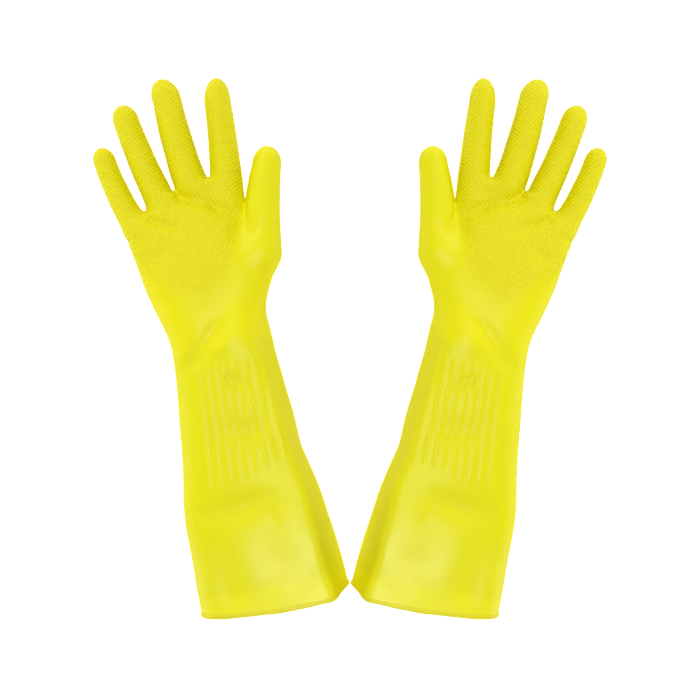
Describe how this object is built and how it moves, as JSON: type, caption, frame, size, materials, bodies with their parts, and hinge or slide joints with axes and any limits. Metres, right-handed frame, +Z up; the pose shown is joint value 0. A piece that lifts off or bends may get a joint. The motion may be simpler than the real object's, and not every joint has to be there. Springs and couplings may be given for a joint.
{
  "type": "pair of long household rubber gloves",
  "caption": "Pair of long flock-lined rubber gloves with ribbed gauntlet cuffs and rolled beads, lying palms up; wrists bend and digits curl.",
  "frame": {"origin": "centre of the pair's bounding box, on the table it lies on", "axes": "+Z up from the table, towards the palms; +Y along the pair towards the fingertips; +X across it, from the right-hand glove to the left-hand glove"},
  "size_m": [0.3852, 0.4042, 0.0467],
  "materials": {
    "latex": "satin",
    "bead": "satin",
    "flock": "matt"
  },
  "bodies": {
    "right_cuff": {"right_gauntlet": "latex", "right_gauntlet_lining": "flock", "right_cuff_bead": "bead", "right_wrist_gores": "latex", "right_wrist_gores_lining": "flock"},
    "right_hand": {"right_hand_shell": "latex", "right_hand_lining": "flock"},
    "right_thumb_base": {"right_thumb_base": "latex", "right_thumb_base_lining": "flock"},
    "right_thumb_tip": {"right_thumb_tip": "latex", "right_thumb_tip_lining": "flock"},
    "right_index_base": {"right_index_base": "latex", "right_index_base_lining": "flock"},
    "right_index_tip": {"right_index_tip": "latex", "right_index_tip_lining": "flock"},
    "right_middle_base": {"right_middle_base": "latex", "right_middle_base_lining": "flock"},
    "right_middle_tip": {"right_middle_tip": "latex", "right_middle_tip_lining": "flock"},
    "right_ring_base": {"right_ring_base": "latex", "right_ring_base_lining": "flock"},
    "right_ring_tip": {"right_ring_tip": "latex", "right_ring_tip_lining": "flock"},
    "right_little_base": {"right_little_base": "latex", "right_little_base_lining": "flock"},
    "right_little_tip": {"right_little_tip": "latex", "right_little_tip_lining": "flock"},
    "left_cuff": {"left_gauntlet": "latex", "left_gauntlet_lining": "flock", "left_cuff_bead": "bead", "left_wrist_gores": "latex", "left_wrist_gores_lining": "flock"},
    "left_hand": {"left_hand_shell": "latex", "left_hand_lining": "flock"},
    "left_thumb_base": {"left_thumb_base": "latex", "left_thumb_base_lining": "flock"},
    "left_thumb_tip": {"left_thumb_tip": "latex", "left_thumb_tip_lining": "flock"},
    "left_index_base": {"left_index_base": "latex", "left_index_base_lining": "flock"},
    "left_index_tip": {"left_index_tip": "latex", "left_index_tip_lining": "flock"},
    "left_middle_base": {"left_middle_base": "latex", "left_middle_base_lining": "flock"},
    "left_middle_tip": {"left_middle_tip": "latex", "left_middle_tip_lining": "flock"},
    "left_ring_base": {"left_ring_base": "latex", "left_ring_base_lining": "flock"},
    "left_ring_tip": {"left_ring_tip": "latex", "left_ring_tip_lining": "flock"},
    "left_little_base": {"left_little_base": "latex", "left_little_base_lining": "flock"},
    "left_little_tip": {"left_little_tip": "latex", "left_little_tip_lining": "flock"}
  },
  "joints": [
    {"name": "gloves_apart", "type": "slide", "parent": "right_cuff", "child": "left_cuff", "axis": [1, 0, 0], "range_m": [0, 0.25]},
    {"name": "right_wrist_bend", "type": "hinge", "parent": "right_cuff", "child": "right_hand", "pos_m": [-0.09884, 0.01294, 0.0195], "axis": [0.9776, 0.2106, 0], "range_deg": [0, 60], "stiffness_Nm_per_rad": 0.3, "deforming": ["right_wrist_gores", "right_wrist_gores_lining"]},
    {"name": "right_thumb_curl", "type": "hinge", "parent": "right_hand", "child": "right_thumb_base", "pos_m": [-0.06436, 0.11153, 0.02753], "axis": [0.9966, -0.0823, 0], "range_deg": [0, 45], "stiffness_Nm_per_rad": 0.02},
    {"name": "right_thumb_end_curl", "type": "hinge", "parent": "right_thumb_base", "child": "right_thumb_tip", "pos_m": [-0.0628, 0.13047, 0.02567], "axis": [0.9966, -0.0823, 0], "range_deg": [0, 45], "stiffness_Nm_per_rad": 0.01},
    {"name": "right_index_curl", "type": "hinge", "parent": "right_hand", "child": "right_index_base", "pos_m": [-0.09271, 0.13118, 0.02365], "axis": [0.9776, 0.2106, 0], "range_deg": [0, 85], "stiffness_Nm_per_rad": 0.02},
    {"name": "right_index_end_curl", "type": "hinge", "parent": "right_index_base", "child": "right_index_tip", "pos_m": [-0.09621, 0.15978, 0.02254], "axis": [0.9776, 0.2106, 0], "range_deg": [0, 85], "stiffness_Nm_per_rad": 0.01},
    {"name": "right_middle_curl", "type": "hinge", "parent": "right_hand", "child": "right_middle_base", "pos_m": [-0.11974, 0.12535, 0.02543], "axis": [0.9776, 0.2106, 0], "range_deg": [0, 85], "stiffness_Nm_per_rad": 0.02},
    {"name": "right_middle_end_curl", "type": "hinge", "parent": "right_middle_base", "child": "right_middle_tip", "pos_m": [-0.12853, 0.15589, 0.0243], "axis": [0.9776, 0.2106, 0], "range_deg": [0, 85], "stiffness_Nm_per_rad": 0.01},
    {"name": "right_ring_curl", "type": "hinge", "parent": "right_hand", "child": "right_ring_base", "pos_m": [-0.14531, 0.11596, 0.02301], "axis": [0.9776, 0.2106, 0], "range_deg": [0, 85], "stiffness_Nm_per_rad": 0.02},
    {"name": "right_ring_end_curl", "type": "hinge", "parent": "right_ring_base", "child": "right_ring_tip", "pos_m": [-0.15635, 0.14274, 0.02196], "axis": [0.9776, 0.2106, 0], "range_deg": [0, 85], "stiffness_Nm_per_rad": 0.01},
    {"name": "right_little_curl", "type": "hinge", "parent": "right_hand", "child": "right_little_base", "pos_m": [-0.16525, 0.09888, 0.02098], "axis": [0.9776, 0.2106, 0], "range_deg": [0, 85], "stiffness_Nm_per_rad": 0.02},
    {"name": "right_little_end_curl", "type": "hinge", "parent": "right_little_base", "child": "right_little_tip", "pos_m": [-0.17461, 0.12039, 0.01941], "axis": [0.9776, 0.2106, 0], "range_deg": [0, 85], "stiffness_Nm_per_rad": 0.01},
    {"name": "left_wrist_bend", "type": "hinge", "parent": "left_cuff", "child": "left_hand", "pos_m": [0.09884, 0.01294, 0.0195], "axis": [0.9776, -0.2106, 0], "range_deg": [0, 60], "stiffness_Nm_per_rad": 0.3, "deforming": ["left_wrist_gores", "left_wrist_gores_lining"]},
    {"name": "left_thumb_curl", "type": "hinge", "parent": "left_hand", "child": "left_thumb_base", "pos_m": [0.06436, 0.11153, 0.02753], "axis": [0.9966, 0.0823, 0], "range_deg": [0, 45], "stiffness_Nm_per_rad": 0.02},
    {"name": "left_thumb_end_curl", "type": "hinge", "parent": "left_thumb_base", "child": "left_thumb_tip", "pos_m": [0.0628, 0.13047, 0.02567], "axis": [0.9966, 0.0823, 0], "range_deg": [0, 45], "stiffness_Nm_per_rad": 0.01},
    {"name": "left_index_curl", "type": "hinge", "parent": "left_hand", "child": "left_index_base", "pos_m": [0.09271, 0.13118, 0.02365], "axis": [0.9776, -0.2106, 0], "range_deg": [0, 85], "stiffness_Nm_per_rad": 0.02},
    {"name": "left_index_end_curl", "type": "hinge", "parent": "left_index_base", "child": "left_index_tip", "pos_m": [0.09621, 0.15978, 0.02254], "axis": [0.9776, -0.2106, 0], "range_deg": [0, 85], "stiffness_Nm_per_rad": 0.01},
    {"name": "left_middle_curl", "type": "hinge", "parent": "left_hand", "child": "left_middle_base", "pos_m": [0.11974, 0.12535, 0.02543], "axis": [0.9776, -0.2106, 0], "range_deg": [0, 85], "stiffness_Nm_per_rad": 0.02},
    {"name": "left_middle_end_curl", "type": "hinge", "parent": "left_middle_base", "child": "left_middle_tip", "pos_m": [0.12853, 0.15589, 0.0243], "axis": [0.9776, -0.2106, 0], "range_deg": [0, 85], "stiffness_Nm_per_rad": 0.01},
    {"name": "left_ring_curl", "type": "hinge", "parent": "left_hand", "child": "left_ring_base", "pos_m": [0.14531, 0.11596, 0.02301], "axis": [0.9776, -0.2106, 0], "range_deg": [0, 85], "stiffness_Nm_per_rad": 0.02},
    {"name": "left_ring_end_curl", "type": "hinge", "parent": "left_ring_base", "child": "left_ring_tip", "pos_m": [0.15635, 0.14274, 0.02196], "axis": [0.9776, -0.2106, 0], "range_deg": [0, 85], "stiffness_Nm_per_rad": 0.01},
    {"name": "left_little_curl", "type": "hinge", "parent": "left_hand", "child": "left_little_base", "pos_m": [0.16525, 0.09888, 0.02098], "axis": [0.9776, -0.2106, 0], "range_deg": [0, 85], "stiffness_Nm_per_rad": 0.02},
    {"name": "left_little_end_curl", "type": "hinge", "parent": "left_little_base", "child": "left_little_tip", "pos_m": [0.17461, 0.12039, 0.01941], "axis": [0.9776, -0.2106, 0], "range_deg": [0, 85], "stiffness_Nm_per_rad": 0.01}
  ],
  "couplings": [
    {"joint": "right_thumb_end_curl", "follows": "right_thumb_curl", "ratio": 1},
    {"joint": "right_index_end_curl", "follows": "right_index_curl", "ratio": 1},
    {"joint": "right_middle_end_curl", "follows": "right_middle_curl", "ratio": 1},
    {"joint": "right_ring_end_curl", "follows": "right_ring_curl", "ratio": 1},
    {"joint": "right_little_end_curl", "follows": "right_little_curl", "ratio": 1},
    {"joint": "left_thumb_end_curl", "follows": "left_thumb_curl", "ratio": 1},
    {"joint": "left_index_end_curl", "follows": "left_index_curl", "ratio": 1},
    {"joint": "left_middle_end_curl", "follows": "left_middle_curl", "ratio": 1},
    {"joint": "left_ring_end_curl", "follows": "left_ring_curl", "ratio": 1},
    {"joint": "left_little_end_curl", "follows": "left_little_curl", "ratio": 1}
  ]
}
